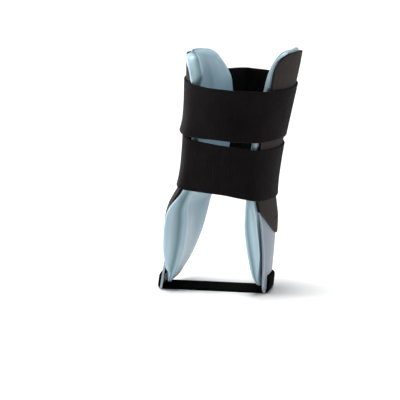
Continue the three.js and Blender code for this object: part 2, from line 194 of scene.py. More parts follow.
def shell_at(side, z):
    """Reach from the middle plane, half girth and radius of the shell's outer face at height z. The
    inner ankle bone sits higher and stands out more than the outer one."""
    height = z / SHELL_TOP
    reach = SHELL_SPREAD * read_table(SHELL_FORM, "spread" if side > 0 else "inner", height)
    girth = SHELL_HALF_GIRTH * read_table(SHELL_FORM, "girth", height)
    radius = SHELL_BEND_RADIUS * read_table(SHELL_FORM, "bend", height)
    return reach, girth, radius


def top_of(side, top):
    """Height of a side's top: the inner side ends lower."""
    return top - (INNER_DROP if side < 0 else 0)


def set_back(side, z):
    """How far round its curve a shell's middle line is turned back. It comes forward near the top,
    and the inner one's is turned back more."""
    forward = TOP_FORWARD * read_table(SHELL_FORM, "forward", z / SHELL_TOP)
    if side > 0:
        return LATERAL_SET_BACK - forward
    turn = read_table(SHELL_FORM, "turn", z / SHELL_TOP)
    return LATERAL_SET_BACK + (MEDIAL_SET_BACK - LATERAL_SET_BACK) * turn - forward


def side_point(side, around, z, depth):
    """Points of a side: around is the distance round the shell's arc, depth goes inwards from its
    outer face. x is the reach less the arc's fall, y the arc's sine."""
    around, z, depth = np.broadcast_arrays(around, z, depth)
    reach, _, radius = shell_at(side, z)
    angle = (around + set_back(side, z)) / radius
    x = reach - radius + (radius - depth) * np.cos(angle)
    return np.stack([side * x, (radius - depth) * np.sin(angle), z], axis=-1)


def side_place(side, points):
    """The way back: distance round the arc, height and depth of points of a side."""
    z = points[..., 2]
    reach, _, radius = shell_at(side, z)
    x = side * points[..., 0] - reach + radius
    angle = np.arctan2(points[..., 1], x)
    return angle * radius - set_back(side, z), z, radius - np.hypot(x, points[..., 1])


place = side_place(-1, side_point(-1, 12.0, 80.0, 3.0))
print("round trip of a point:", [round(float(v), 6) for v in place])

# %% [markdown]
# ### Tops and lean
# Each side's top has two round corners and slopes down behind, so that it clears the calf. Cutting
# that slope from a grid would leave ragged cells. So the grid is made with a level top, and its rows
# then sink towards the rear, more and more up to the top. The whole brace leans a little to its outer
# side. That is a shear, put on last, so everything before it is worked out for an upright brace.

# %% Corners and the raked top


def ease(value, low, high):
    """Smooth step from 0 to 1 as value goes from low to high: 3 t squared less 2 t cubed."""
    t = np.clip((value - low) / (high - low), 0, 1)
    return t * t * (3 - 2 * t)


def corner_inset(distance, width, height):
    """Narrowing of an outline near its end, for an elliptic corner width by height."""
    run = np.clip(1 - distance / height, 0, 1)
    return width * (1 - np.sqrt(1 - run * run))


def rake(side, around, z):
    """How far a row of points sinks towards the rear. It grows up to the top, which slopes down
    behind: the fall follows a power of the distance back from where it starts."""
    top = top_of(side, SHELL_TOP)
    share = np.maximum(around / shell_at(side, z)[1] - RAKE_START, 0) / (1 - RAKE_START)
    return TOP_RAKE * share**RAKE_POWER * ease(z, top - RAKE_DEPTH, top)


def top_edges(side, z, overhang, top, front_corner, rear_corner):
    """Front and rear limits round the arc at height z, under a top with two round corners. The
    overhang is what a piece stands out past the shell's girth."""
    half = shell_at(side, z)[1] + overhang
    front = corner_inset(top - z, FRONT_CORNER_WIDTH, front_corner) - half
    return front, half - corner_inset(top - z, REAR_CORNER_WIDTH, rear_corner)


print("rake of the top's rear:", round(float(rake(1, SHELL_HALF_GIRTH, SHELL_TOP)), 1), "mm")

# %% [markdown]
# ## From grids to meshes
# Every new piece is a grid of points worked out as whole arrays. Three helpers put such grids into
# meshes: a plate with two faces and a rim, which may have holes, a profile carried along a path, and,
# with the pads, a pillow of two sheets that share their border.

# %% Points into a mesh and back


def leaned(points, share):
    """Points with x moved by a share of their height: the shear that leans the brace."""
    moved = points.copy()
    moved[..., 0] += share * points[..., 2]
    return moved


def fill_mesh(name, points, faces):
    """A mesh object from points in millimetres and an array of quads, with its faces outwards:
    the sign of the sum of corner . (corner x corner) says whether they are."""
    mesh = bpy.data.meshes.new(name)
    points = leaned(np.asarray(points, float), LEAN) * MM
    faces = np.asarray(faces, int)
    corners = points[faces]
    first = np.cross(corners[:, 1], corners[:, 2]) * corners[:, 0]
    second = np.cross(corners[:, 2], corners[:, 3]) * corners[:, 0]
    if first.sum() + second.sum() < 0:
        faces = faces[:, ::-1]
    mesh.from_pydata(points.tolist(), [], faces.tolist())
    mesh.update()
    piece = bpy.data.objects.new(name, mesh)
    bpy.context.scene.collection.objects.link(piece)
    mesh.shade_smooth()
    return piece


def read_points(mesh):
    """A mesh's points in millimetres, stood upright again."""
    points = np.zeros(len(mesh.vertices) * 3, np.float32)
    mesh.vertices.foreach_get("co", points)
    return leaned(points.reshape(-1, 3).astype(float) / MM, -LEAN)


def write_points(mesh, points):
    """Puts upright points in millimetres back into a mesh, leaned as the brace is."""
    mesh.vertices.foreach_set("co", (leaned(points, LEAN) * MM).astype(np.float32).ravel())
    mesh.update()


# %% A plate that may have holes


def grid_quads(rows, columns, wrap=False):
    """Quads of a grid whose points are numbered row by row. Wrap joins the last column to the first."""
    r = np.arange(rows - 1)[:, None]
    c = np.arange(columns if wrap else columns - 1)[None, :]
    d = (c + 1) % columns
    low = r * columns
    high = low + columns
    return np.stack([low + c, low + d, high + d, high + c], axis=-1).reshape(-1, 4)


def plate_mesh(name, outer, inner, kept=None):
    """A plate from the grids of its two faces. kept says which cells are there. A wall stands on each
    edge where a cell that is there meets one that isn't, or the grid's border."""
    rows, columns = outer.shape[:2]
    if kept is None:
        kept = np.ones((rows - 1, columns - 1), bool)
    quads = grid_quads(rows, columns).reshape(rows - 1, columns - 1, 4)
    count = rows * columns
    padded = np.pad(kept, 1).astype(int)
    faces = [quads[kept], quads[kept][:, ::-1] + count]
    number = np.arange(count).reshape(rows, columns)
    across = padded[1:, 1:-1] - padded[:-1, 1:-1]
    upright = padded[1:-1, 1:] - padded[1:-1, :-1]
    borders = (
        (across, number[:, :-1], number[:, 1:]),
        (-upright, number[:-1, :], number[1:, :]),
    )
    for change, a, b in borders:
        for sign in (1, -1):
            start = (a if sign > 0 else b)[change == sign]
            end = (b if sign > 0 else a)[change == sign]
            faces.append(np.stack([start, start + count, end + count, end], axis=-1))
    points = np.concatenate([outer.reshape(-1, 3), inner.reshape(-1, 3)])
    faces = np.concatenate(faces)
    used, faces = np.unique(faces, return_inverse=True)
    return fill_mesh(name, points[used], faces.reshape(-1, 4))


# %% A profile carried along a path


def swept_quads(steps, around):
    """Quads of a swept profile. Each end is closed by joining the profile's two halves, point for
    point."""
    k = np.arange(around // 2 - 1)
    cap = np.stack([k, k + 1, around - 2 - k, around - 1 - k], axis=-1)
    last = (steps - 1) * around
    return np.concatenate([grid_quads(steps, around, wrap=True), cap, cap[:, ::-1] + last])


def swept_mesh(name, rings):
    """A profile carried along a path: rings is path steps x profile points x 3."""
    return fill_mesh(name, rings.reshape(-1, 3), swept_quads(*rings.shape[:2]))


def band_profile(width, wall, steps, round_steps=4):
    """A flat band's section as places across (0 to width) and off its inner face (0 to wall): up the
    inner face, round a half circle, down the outer face and round again."""
    radius = wall / 2
    turn = np.linspace(-np.pi / 2, np.pi / 2, 2 * round_steps + 1)[1:-1]
    flat = np.linspace(radius, width - radius, steps)
    across = [flat, width - radius + radius * np.cos(turn), flat[::-1], radius - radius * np.cos(turn)]
    off = [0 * flat, radius + radius * np.sin(turn), 0 * flat + wall, radius - radius * np.sin(turn)]
    half = round_steps - 1
    return np.roll(np.concatenate(across), half), np.roll(np.concatenate(off), half)


# %% Values that follow a piece


def set_uv(piece, along, across):
    """A UV map in millimetres from one value of each per point, for patterns that follow the piece."""
    mesh = piece.data
    index = np.zeros(len(mesh.loops), int)
    mesh.loops.foreach_get("vertex_index", index)
    uv = np.stack([np.ravel(along)[index], np.ravel(across)[index]], axis=-1)
    mesh.uv_layers.new(name="Weave").data.foreach_set("uv", uv.astype(np.float32).ravel())


def set_value(piece, name, values):
    """One number per point, which a material can read by name."""
    layer = piece.data.attributes.new(name, "FLOAT", "POINT")
    layer.data.foreach_set("value", np.asarray(values, np.float32).ravel())


# %% Edges and materials
SHARP_ANGLE = 40
EDGE_SEGMENTS = 3


def soften_edges(piece, width):
    """Live bevel on the sharp edges, as moulding or cutting leaves them."""
    bevel = piece.modifiers.new("edges", "BEVEL")
    bevel.width = width * MM
    bevel.segments = EDGE_SEGMENTS
    bevel.limit_method = "ANGLE"
    bevel.angle_limit = math.radians(SHARP_ANGLE)
    bevel.harden_normals = True


def finish_piece(piece, material, slot, *nodes):
    """Gives a piece its material and body, and hides the nodes that it replaces. The slot is not used.
    """
    piece.data.materials.append(material)
    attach(piece, BODY)
    if nodes:
        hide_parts(*nodes)
    print(piece.name, len(piece.data.vertices), "points")


# %% [markdown]
# ## Materials
# Each finish is a small node tree on one Principled shader. A helper holds the tree and offers the
# few steps that they share: noise, bands, a colour between two, a bump. Colours are linear values.

# %% A node tree helper
BAND_UNIT = 0.314  # scale at which a wave texture's bands are one unit apart


class Finish:
    """A material under construction: nodes are added by name and joined by sockets."""

    def __init__(self, name, roughness, **constants):
        self.material = bpy.data.materials.new(name)
        self.material.use_nodes = True
        self.tree = self.material.node_tree
        self.shader = self.tree.nodes["Principled BSDF"]
        self.shader.inputs["Roughness"].default_value = roughness
        for socket, value in constants.items():
            self.shader.inputs[socket.replace("_", " ")].default_value = value
        self.coordinates = self.tree.nodes.new("ShaderNodeTexCoord")
        self.bumps = None

    def join(self, source, target):
        """Links one socket to another."""
        self.tree.links.new(source, target)

    def node(self, kind, **values):
        """A new node with its settings."""
        made = self.tree.nodes.new(kind)
        for key, value in values.items():
            setattr(made, key, value)
        return made

    def place(self, source, scale):
        """Coordinates of a source ("Object" or "UV"), times a scale per axis."""
        mapping = self.node("ShaderNodeMapping")
        mapping.inputs["Scale"].default_value = scale
        self.join(self.coordinates.outputs[source], mapping.inputs["Vector"])
        return mapping.outputs["Vector"]

    def noise(self, where, scale, detail=3.0, roughness=0.55):
        """Smooth random values, 0 to 1, about scale of them in a unit."""
        noise = self.node("ShaderNodeTexNoise")
        noise.inputs["Scale"].default_value = scale
        noise.inputs["Detail"].default_value = detail
        noise.inputs["Roughness"].default_value = roughness
        self.join(where, noise.inputs["Vector"])
        return noise.outputs["Fac"]

    def bands(self, where, pitch, direction="X", distortion=0.0):
        """Bands a pitch apart: a sine of the place along the direction, bent a little if asked."""
        wave = self.node("ShaderNodeTexWave", bands_direction=direction)
        wave.inputs["Scale"].default_value = BAND_UNIT / pitch
        wave.inputs["Distortion"].default_value = distortion
        wave.inputs["Detail Scale"].default_value = 2.0
        self.join(where, wave.inputs["Vector"])
        return wave.outputs["Fac"]

    def value(self, name):
        """A number that the piece carries on its points."""
        return self.node("ShaderNodeAttribute", attribute_name=name).outputs["Fac"]

    def math(self, operation, first, second=0):
        """One arithmetic step on numbers or sockets."""
        made = self.node("ShaderNodeMath", operation=operation)
        for socket, given in zip(made.inputs, (first, second)):
            if isinstance(given, (int, float)):
                socket.default_value = given
            else:
                self.join(given, socket)
        return made.outputs[0]

    def span(self, factor, low, high, start=0.0, end=1.0):
        """The factor's range start to end spread onto low to high."""
        made = self.node("ShaderNodeMapRange")
        ends = {"From Min": start, "From Max": end, "To Min": low, "To Max": high}
        for socket, given in ends.items():
            made.inputs[socket].default_value = given
        self.join(factor, made.inputs["Value"])
        return made.outputs["Result"]

    def mix(self, factor, first, second):
        """A colour between two, each a linear colour or a socket."""
        made = self.node("ShaderNodeMix", data_type="RGBA")
        self.join(factor, made.inputs["Factor"])
        for socket, given in ((made.inputs[6], first), (made.inputs[7], second)):
            if isinstance(given, tuple):
                socket.default_value = (*given, 1)
            else:
                self.join(given, socket)
        return made.outputs[2]

    def colour(self, source):
        """The shader's colour."""
        self.join(source, self.shader.inputs["Base Color"])

    def rough(self, source):
        """The shader's roughness."""
        self.join(source, self.shader.inputs["Roughness"])

    def bump(self, height, distance, strength=1.0):
        """A bump of a height, in millimetres, laid on those before it."""
        made = self.node("ShaderNodeBump")
        made.inputs["Distance"].default_value = distance * MM
        made.inputs["Strength"].default_value = strength
        self.join(height, made.inputs["Height"])
        if self.bumps:
            self.join(self.bumps, made.inputs["Normal"])
        self.bumps = made.outputs["Normal"]
        self.join(self.bumps, self.shader.inputs["Normal"])


# %% [markdown]
# ### Moulded plastic
# The shells are thin satin polypropylene, blue-grey, with a faint orange-peel from the mould. A paler
# band along the rim is a painted highlight of the rounded edge. Noise in two sizes gives the peel and
# the clouding.

# %% Shell plastic


def make_shell_plastic():
    """Two blue-greys clouded by broad noise, with a painted highlight at the edge and a fine noise for
    the peel.
    """
    finish = Finish("moulded_shell", 0.45, Specular_IOR_Level=0.3)
    place = finish.place("Object", (1, 1, 1))
    cloud = finish.noise(place, 28, 2)
    body = finish.mix(cloud, (0.19, 0.226, 0.272), (0.214, 0.251, 0.298))
    # Painted highlight: the edge value lightens the plastic along the rim.
    finish.colour(finish.mix(finish.value("edge"), body, (0.36, 0.42, 0.48)))
    finish.rough(finish.span(finish.noise(place, 90, 3), 0.36, 0.5))
    finish.bump(finish.noise(place, 900, 2), 0.05, 0.5)
    return finish.material


shell_plastic = make_shell_plastic()

# %% [markdown]
# ### Loop cloth
# The covers are foam faced with brushed loops that hook tape grips. Seen close it is a felt of tiny
# curls: noise at the scale of the loops lifts the surface, a broader noise brushes it light and dark,
# and sheen gives the pale bloom at grazing angles. The cover's UV map holds millimetres round the shell
# and up it. There the cloth has a short bowed crease over the ankle bone, where it was bent. The
# crease is bumped in and painted near black as its shade.

# %% Loop cloth
# Place and size of the crease, which is bumped and painted dark as its shade.
CREASE_HEIGHT = 73.0
CREASE_MIDDLE = -3.0
CREASE_BOW = 0.005
CREASE_FADE = (0.25, 0.8)
CREASE_ENDS = (9, 14)


def make_loop_cloth():
    """Charcoal felt with paler loops and a mauve hem. The crease is a line whose height is a parabola
    of the distance from its middle: it fades across itself and towards its ends. It is painted near
    black as the shade in the fold, and bumped in."""
    finish = Finish("loop_cloth", 0.92, Sheen_Weight=0.06, Sheen_Roughness=0.4, Specular_IOR_Level=0.08)
    finish.shader.inputs["Sheen Tint"].default_value = (0.62, 0.58, 0.56, 1)
    place = finish.place("Object", (1, 1, 0.7))
    curls = finish.noise(place, 1500, 3, 0.7)
    brush = finish.noise(place, 60, 4)
    felt = finish.mix(brush, (0.021, 0.0178, 0.0165), (0.036, 0.031, 0.029))
    loops = finish.mix(finish.span(curls, 0, 0.45, 0.45, 0.75), felt, (0.06, 0.052, 0.049))
    hem = finish.mix(finish.value("edge"), loops, (0.05, 0.034, 0.043))
    split = finish.node("ShaderNodeSeparateXYZ")
    finish.join(finish.place("UV", (1, 1, 1)), split.inputs[0])
    around, height = split.outputs[0], split.outputs[1]
    off_middle = finish.math("SUBTRACT", around, CREASE_MIDDLE)
    bow = finish.math("MULTIPLY", finish.math("MULTIPLY", off_middle, off_middle), CREASE_BOW)
    above = finish.math("SUBTRACT", finish.math("SUBTRACT", height, CREASE_HEIGHT), bow)
    near = finish.span(finish.math("ABSOLUTE", above), 1, 0, *CREASE_FADE)
    inside = finish.span(finish.math("ABSOLUTE", off_middle), 1, 0, *CREASE_ENDS)
    crease = finish.math("MULTIPLY", near, inside)
    # Painted shade: the crease is darkened to near black.
    finish.colour(finish.mix(crease, hem, (0.007, 0.006, 0.006)))
    finish.bump(curls, 0.35, 0.6)
    finish.bump(finish.math("SUBTRACT", 1.0, crease), 0.5, 1.0)
    return finish.material


loop_cloth = make_loop_cloth()

# %% Cut foam edge


def make_cut_edge():
    """The covers' raw rim: closed-cell foam with a fine grain, near black partly as the foam's own
    colour and partly as painted shade of the gap over the shell's edge.
    """
    finish = Finish("cut_foam_edge_and_shade", 0.85, Specular_IOR_Level=0.08)
    place = finish.place("Object", (1, 1, 1))
    grain = finish.noise(place, 1800, 2)
    # Painted shade: the near black also stands for the shadowed gap along the shell's edge.
    finish.colour(finish.mix(grain, (0.006, 0.0055, 0.0055), (0.016, 0.015, 0.015)))
    finish.bump(grain, 0.2, 0.5)
    return finish.material


cut_edge = make_cut_edge()

# %% [markdown]
# ### Bladder film
# The liners are soft vinyl film welded over foam and air. The film is pale blue with a satin gloss.
# Where it dives into the weld it is painted a deeper teal as the shade in that crease.
# A value on each point, 1 at the weld and 0 away from it, drives that.

# %% Bladder film


def make_bladder_film():
    """Pale blue film, clouded by broad noise, with painted shade deepening it at the weld and a faint
    grain.
    """
    finish = Finish("bladder_film", 0.38, Specular_IOR_Level=0.5, Coat_Weight=0.12, Coat_Roughness=0.3)
    place = finish.place("Object", (1, 1, 1))
    cloud = finish.noise(place, 22, 3)
    body = finish.mix(cloud, (0.37, 0.535, 0.615), (0.445, 0.6, 0.68))
    # Painted shade: the film deepens to dark teal in the weld's crease.
    finish.colour(finish.mix(finish.value("weld"), body, (0.105, 0.2, 0.24)))
    finish.rough(finish.span(finish.noise(place, 140, 2), 0.34, 0.46))
    finish.bump(finish.noise(place, 420, 3), 0.12, 0.4)
    return finish.material


bladder_film = make_bladder_film()

# %% [markdown]
# ### Elastic and webbing
# Wide elastic is knitted or woven with rubber threads along it: fine cords run lengthwise, and the
# pull of the rubber gathers it into cross ribs. Both follow the band, so they read its own UV map,
# which is in millimetres. The heel strap is woven webbing with a diagonal twill.

# %% Strap elastic


def make_strap_elastic(name, dark, light, rib):
    """Elastic: cross ribs a rib apart times lengthwise cords give the knit's lights and its bump."""
    finish = Finish(name, 0.88, Sheen_Weight=0.2, Sheen_Roughness=0.3, Specular_IOR_Level=0.02)
    finish.shader.inputs["Sheen Tint"].default_value = (0.8, 0.78, 0.8, 1)
    band = finish.place("UV", (1, 1, 1))
    ribs = finish.bands(band, rib, "X", 0.6)
    cords = finish.bands(band, 0.9, "Y", 0.3)
    knit = finish.math("MULTIPLY", ribs, cords)
    wear = finish.noise(finish.place("Object", (1, 1, 1)), 45, 4)
    tone = finish.math("MULTIPLY", finish.span(knit, 0.35, 1.0), finish.span(wear, 0.6, 1.0, 0.3, 0.7))
    finish.colour(finish.mix(tone, dark, light))
    finish.bump(knit, 0.22, 0.7)
    finish.bump(finish.noise(band, 3.0, 3), 0.12, 0.5)
    return finish.material


black, sheen_black = (0.0016, 0.0010, 0.0012), (0.018, 0.0155, 0.017)
strap_elastic = make_strap_elastic("strap_elastic", black, sheen_black, 1.3)


def make_webbing():
    """Black webbing: diagonal bands crossed with fine upright ones give the twill's raised ribs."""
    finish = Finish("heel_webbing", 0.85, Specular_IOR_Level=0.02)
    band = finish.place("UV", (1, 1, 1))
    twill = finish.bands(band, 1.9, "DIAGONAL", 0.2)
    threads = finish.bands(band, 0.55, "X", 0.2)
    weave = finish.math("MULTIPLY", finish.span(twill, 0.3, 1), finish.span(threads, 0.6, 1))
    finish.colour(finish.mix(weave, (0.001, 0.001, 0.001), (0.006, 0.0058, 0.0056)))
    finish.bump(weave, 0.4, 0.8)
    return finish.material


heel_webbing = make_webbing()


def make_hook_tape():
    """Hook tape: black nylon, shinier than the strap, with rows of tiny hooks as crossed bands."""
    finish = Finish("hook_tape", 0.6, Specular_IOR_Level=0.2)
    band = finish.place("UV", (1, 1, 1))
    hooks = finish.math("MULTIPLY", finish.bands(band, 1.5, "X"), finish.bands(band, 1.5, "Y"))
    finish.colour(finish.mix(hooks, (0.006, 0.006, 0.007), (0.03, 0.03, 0.032)))
    finish.bump(hooks, 0.3, 0.6)
    return finish.material


hook_tape = make_hook_tape()
thread = make_strap_elastic("sewing_thread", (0.012, 0.012, 0.013), (0.05, 0.05, 0.054), 0.6)
print("finishes:", sorted(material.name for material in bpy.data.materials))

# %% [markdown]
# ## Side shells
# A shell is a moulded plate. Its rows follow the heights and its columns the girth, so the heel
# strap's slot and the recess at its foot are cells left out of the grid. The wall on every open edge
# closes the plate, and a bevel rounds it as a mould does.

# %% The shell's outline and rows
SHELL_COLUMNS = 44
SHELL_ROWS = 120
ROW_CROWDING = 0.13
SHELL_EDGE_ROUND = 0.55
# Width over which the painted rim highlight fades, in millimetres.
SHELL_EDGE_HIGHLIGHT = (0.2, 1.6)
HAIR = 0.01  # room for rounding where cells are compared with a height


def spaced_with(low, high, count, extra):
    """Evenly spaced values with some exact ones put in, each in place of its nearest neighbour."""
    values = np.linspace(low, high, count)
    for exact in extra:
        values[np.abs(values - exact).argmin()] = exact
    return values


def crowded(low, high, count):
    """Heights from low to high that crowd together at both ends, to follow their round corners."""
    t = np.linspace(0, 1, count)
    return low + (high - low) * (t - ROW_CROWDING * np.sin(2 * np.pi * t))


def shell_edges(side, z):
    """Front and rear limits of a shell, with its round foot."""
    top = top_of(side, SHELL_TOP)
    front, rear = top_edges(side, z, 0, top, FRONT_CORNER_HEIGHT, REAR_CORNER_HEIGHT)
    foot = corner_inset(z - SHELL_FOOT, FOOT_CORNER_WIDTH, FOOT_CORNER_HEIGHT)
    return front + foot, rear - foot


# %% Build the shells


def make_shell(name, side):
    """A shell's plate: columns are shares between its two edges, and the slot's sides and the recess
    fall on grid lines. Each point then sinks by the rake. The edge value, which paints a highlight
    along the rim, fades inwards."""
    z = crowded(SHELL_FOOT, top_of(side, SHELL_TOP), SHELL_ROWS)
    for exact in (RECESS_HEIGHT, SLOT_LOW, SLOT_HIGH):
        z[np.abs(z - exact).argmin()] = exact
    slot_share = SLOT_HALF_WIDTH / float(shell_at(side, SLOT_LOW)[1])
    u = spaced_with(-1, 1, SHELL_COLUMNS, (-slot_share, slot_share))
    front, rear = shell_edges(side, z[:, None])
    around = front + (u[None, :] + 1) / 2 * (rear - front)
    height = z[:, None] - rake(side, around, z[:, None])
    outer = side_point(side, around, height, 0)
    inner = side_point(side, around, height, SHELL_WALL)
    low, high = z[:-1, None], z[1:, None]
    mid = (around[:-1, :-1] + around[1:, 1:]) / 2
    under_strap = np.abs(mid) < SLOT_HALF_WIDTH
    slot = under_strap & (low > SLOT_LOW - HAIR) & (high < SLOT_HIGH + HAIR)
    recess = under_strap & (high < RECESS_HEIGHT + HAIR)
    shell = plate_mesh("moulded_" + name, outer, inner, ~(slot | recess))
    points = read_points(shell.data)
    around_at, z_at, _ = side_place(side, points)
    z_at = z_at + rake(side, around_at, z_at)
    front_at, rear_at = shell_edges(side, z_at)
    inside = np.minimum(around_at - front_at, rear_at - around_at)
    # The edge value paints a highlight along the rim.
    set_value(shell, "edge", 1 - ease(inside, *SHELL_EDGE_HIGHLIGHT))
    soften_edges(shell, SHELL_EDGE_ROUND)
    finish_piece(shell, shell_plastic, "shell_plastic", name)


for name, side in (("lateral_shell", 1), ("medial_shell", -1)):
    make_shell(name, side)

# %% [markdown]
# ## Covers
# Each shell's upper outside carries a bonded facing whose lower edge is a tongue. Its face is a plate
# like the shell's. Its raw edge turns over the shell's own edge, so that is a second piece: a small
# rounded section carried up one side, over the top and down the other.

# %% Cover faces
COVER_COLUMNS = 48
COVER_ROWS = 110
COVER_CROWDING = 0.16
COVER_EDGE_ROUND = 0.5
COVER_HEM = (0.5, 2.0)


def cover_edge(u):
    """Height of the cover's lower edge: a parabola with its lowest point set back from the middle."""
    shoulder = float(shell_at(1, COVER_SHOULDER_HEIGHT)[1])
    offset = (u * shoulder - COVER_TIP_SET_BACK) / (shoulder + COVER_TIP_SET_BACK)
    return COVER_TIP_HEIGHT + (COVER_SHOULDER_HEIGHT - COVER_TIP_HEIGHT) * offset**2


def make_cover(name, side):
    """A cover's plate: each column runs from the tongue's edge to the level top and then sinks by the
    rake. The edge value is 1 along the tongue and fades upwards."""
    top = top_of(side, SHELL_TOP) + COVER_OVERHANG
    u = np.linspace(-1, 1, COVER_COLUMNS)
    t = np.linspace(0, 1, COVER_ROWS)[:, None]
    t = t + COVER_CROWDING * np.sin(np.pi * t) ** 2 * t
    low = cover_edge(u)[None, :]
    z = low + (top - low) * t / t[-1]
    front, rear = top_edges(side, z, COVER_OVERHANG, top, FRONT_CORNER_HEIGHT, REAR_CORNER_HEIGHT)
    around = front + (u[None, :] + 1) / 2 * (rear - front)
    z = z - rake(side, around, z)
    outer = side_point(side, around, z, -COVER_GAP - COVER_WALL)
    inner = side_point(side, around, z, -COVER_GAP)
    cover = plate_mesh("loop_" + name, outer, inner)
    around_at, z_at, _ = side_place(side, read_points(cover.data))
    set_uv(cover, around_at, z_at)
    shoulder = shell_at(side, COVER_SHOULDER_HEIGHT)[1]
    set_value(cover, "edge", 1 - ease(z_at - cover_edge(around_at / shoulder), *COVER_HEM))
    soften_edges(cover, COVER_EDGE_ROUND)
    finish_piece(cover, loop_cloth, "loop_cover", name)


print("height of the tongue's edge at mid girth:", round(float(cover_edge(0.0)), 1), "mm")

# %% Build the covers and their rims
RIM_STEPS = 60
RIM_REACH = 3.3
RIM_WALL = 0.75
RIM_INSET = 0.62
RIM_SINK = 0.05


def rim_path(side, low, top, steps):
    """The cover's outline as places round the arc and heights: up the front edge from low, round the
    front corner, along the top, round the long rear corner and down."""

    def rise(corner):
        """Heights up to a corner and round it."""
        turn = np.linspace(0, np.pi / 2, steps)
        straight = np.linspace(low, top - corner, steps)[:-1]
        return np.concatenate([straight, top - corner * (1 - np.sin(turn))])

    up, down = rise(FRONT_CORNER_HEIGHT), rise(REAR_CORNER_HEIGHT)[::-1]
    corners = (top, FRONT_CORNER_HEIGHT, REAR_CORNER_HEIGHT)
    front = top_edges(side, up, COVER_OVERHANG, *corners)[0]
    rear = top_edges(side, down, COVER_OVERHANG, *corners)[1]
    flat = np.linspace(front[-1], rear[0], steps // 3)[1:-1]
    around, z = np.concatenate([front, flat, rear]), np.concatenate([up, 0 * flat + top, down])
    return around, z - rake(side, around, z)


def make_cover_rim(name, side):
    """A rounded section carried along the cover's outline. It holds distances out from the outline,
    along the outline's own normal in the shell's face, and depths over the shell's edge."""
    top = top_of(side, SHELL_TOP) + COVER_OVERHANG
    around, z = rim_path(side, COVER_SHOULDER_HEIGHT, top, RIM_STEPS)
    step_a = np.gradient(around)
    step_z = np.gradient(z)
    length = np.hypot(step_a, step_z)
    across, off = band_profile(RIM_REACH, RIM_WALL, 6, 3)
    out = (off - RIM_INSET)[None, :]
    depth = (across - COVER_GAP - COVER_WALL + RIM_SINK)[None, :]
    rim_around = around[:, None] - (step_z / length)[:, None] * out
    rim_z = z[:, None] + (step_a / length)[:, None] * out
    rim = swept_mesh("cut_edge_" + name, side_point(side, rim_around, rim_z, depth))
    finish_piece(rim, cut_edge, "loop_cover")


for name, side in (("lateral_cover", 1), ("medial_cover", -1)):
    make_cover(name, side)
    make_cover_rim(name, side)

# %% [markdown]
# ## Padded liners
# A liner is two sheets of film welded together round their border and puffed up over foam. The weld
# can't swell, so the film bulges past it on both sides and leaves a crease. Cloth simulation with
# inner pressure makes exactly that, so the pillow starts a little slim, is pinned at its weld and is
# blown up for some frames. How far a point may move is then capped, so it stays near its solid.
# Past the shell's outline nothing holds the film back, so the outer lobe curls round the shell's edge.

# %% The pad's outline and its back
PAD_CURL = 5.5
CURL_START = 1.6
PAD_BACK_FADE = (6, 24)
INNER_TOP_RIM = 7.0
INNER_RIM_GROWS = (198, 213)


def pad_back(z):
    """Depth of a pad's back: the shell's wall, and the heel strap's end where that lies between."""
    over_strap = 1 - ease(z - HEEL_STRAP_RISE, *PAD_BACK_FADE)
    return SHELL_WALL + GAP + over_strap * (HEEL_STRAP_WALL + 3 * GAP)


def curl_depth(side, around, z, past):
    """Least depth of a pad: its back where the shell is, and further out past the shell's outline,
    where the outer lobe curls round it. Over is the distance past that outline, and the curl is
    whole where it reaches past."""
    flat_z = z + rake(side, around, z)
    front, rear = shell_edges(side, flat_z)
    over = np.maximum(np.maximum(front - around, around - rear), flat_z - top_of(side, SHELL_TOP))
    curl = PAD_CURL * read_table(PAD_FORM, "outer_curl" if side > 0 else "inner_curl", z / PAD_TOP)
    share = ease(over, CURL_START, past)
    return pad_back(z) * (1 - share) - share * curl


def pad_edges(side, z, more=0.0):
    """Front and rear limits of a pad, with its round foot, and more room if asked."""
    rim = PAD_OVERHANG * read_table(PAD_FORM, "rim", z / PAD_TOP) + more
    front, rear = top_edges(side, z, rim, top_of(side, PAD_TOP), PAD_FRONT_CORNER, PAD_REAR_CORNER)
    foot = corner_inset(z - PAD_FOOT, PAD_FOOT_CORNER, PAD_FOOT_CORNER)
    if side < 0:
        front = front - INNER_TOP_RIM * ease(z, *INNER_RIM_GROWS)
    return front + foot, rear - foot


# %% The pillow before it swells
PAD_COLUMNS = 36
PAD_ROWS = 76
PAD_ROW_CROWDING = 0.1
PAD_COLUMN_CROWDING = 0.25
PAD_SEAM_SHARE = 0.36
PAD_CROWN_FALL = 0.75
PAD_LOBE = 5.5
PAD_START_SLIM = 1.6
PAD_CURL_REACH = 5.5


def pad_grids(side):
    """The pillow's two sheets. Each is thickest away from the border: its lift is a quarter circle of
    the distance from the border, up to the lobe's size."""
    t = np.linspace(0, 1, PAD_ROWS)
    top = top_of(side, PAD_TOP)
    z = PAD_FOOT + (top - PAD_FOOT) * (t - PAD_ROW_CROWDING * np.sin(2 * np.pi * t))
    u = np.linspace(-1, 1, PAD_COLUMNS)
    u = (1 + PAD_COLUMN_CROWDING) * u - PAD_COLUMN_CROWDING * u**3
    front, rear = pad_edges(side, z[:, None], -PAD_START_SLIM)
    half = (rear - front) / 2
    around = (front + rear) / 2 + u[None, :] * half
    z = z[:, None] + 0 * around
    end = np.minimum(z - PAD_FOOT, top - z)
    border = np.minimum(half * (1 - np.abs(u))[None, :], end)
    run = np.clip(border / PAD_LOBE, 0, 1)
    fill = np.sqrt(np.clip(1 - (1 - run) ** 2, 0, 1))
    crown = np.sqrt(1 - np.abs(u)[None, :] ** 4 * PAD_CROWN_FALL)
    thickness = PAD_THICKNESS * read_table(PAD_FORM, "thickness", z / PAD_TOP)
    z = z - rake(side, around, z)
    back = pad_back(z)
    seam = PAD_SEAM_SHARE * thickness
    front_depth = back + seam + (thickness - seam) * fill * crown
    outward = curl_depth(side, around, z, PAD_CURL_REACH)
    back_depth = outward + (back + seam - outward) * (1 - fill)
    return side_point(side, around, z, front_depth), side_point(side, around, z, back_depth)


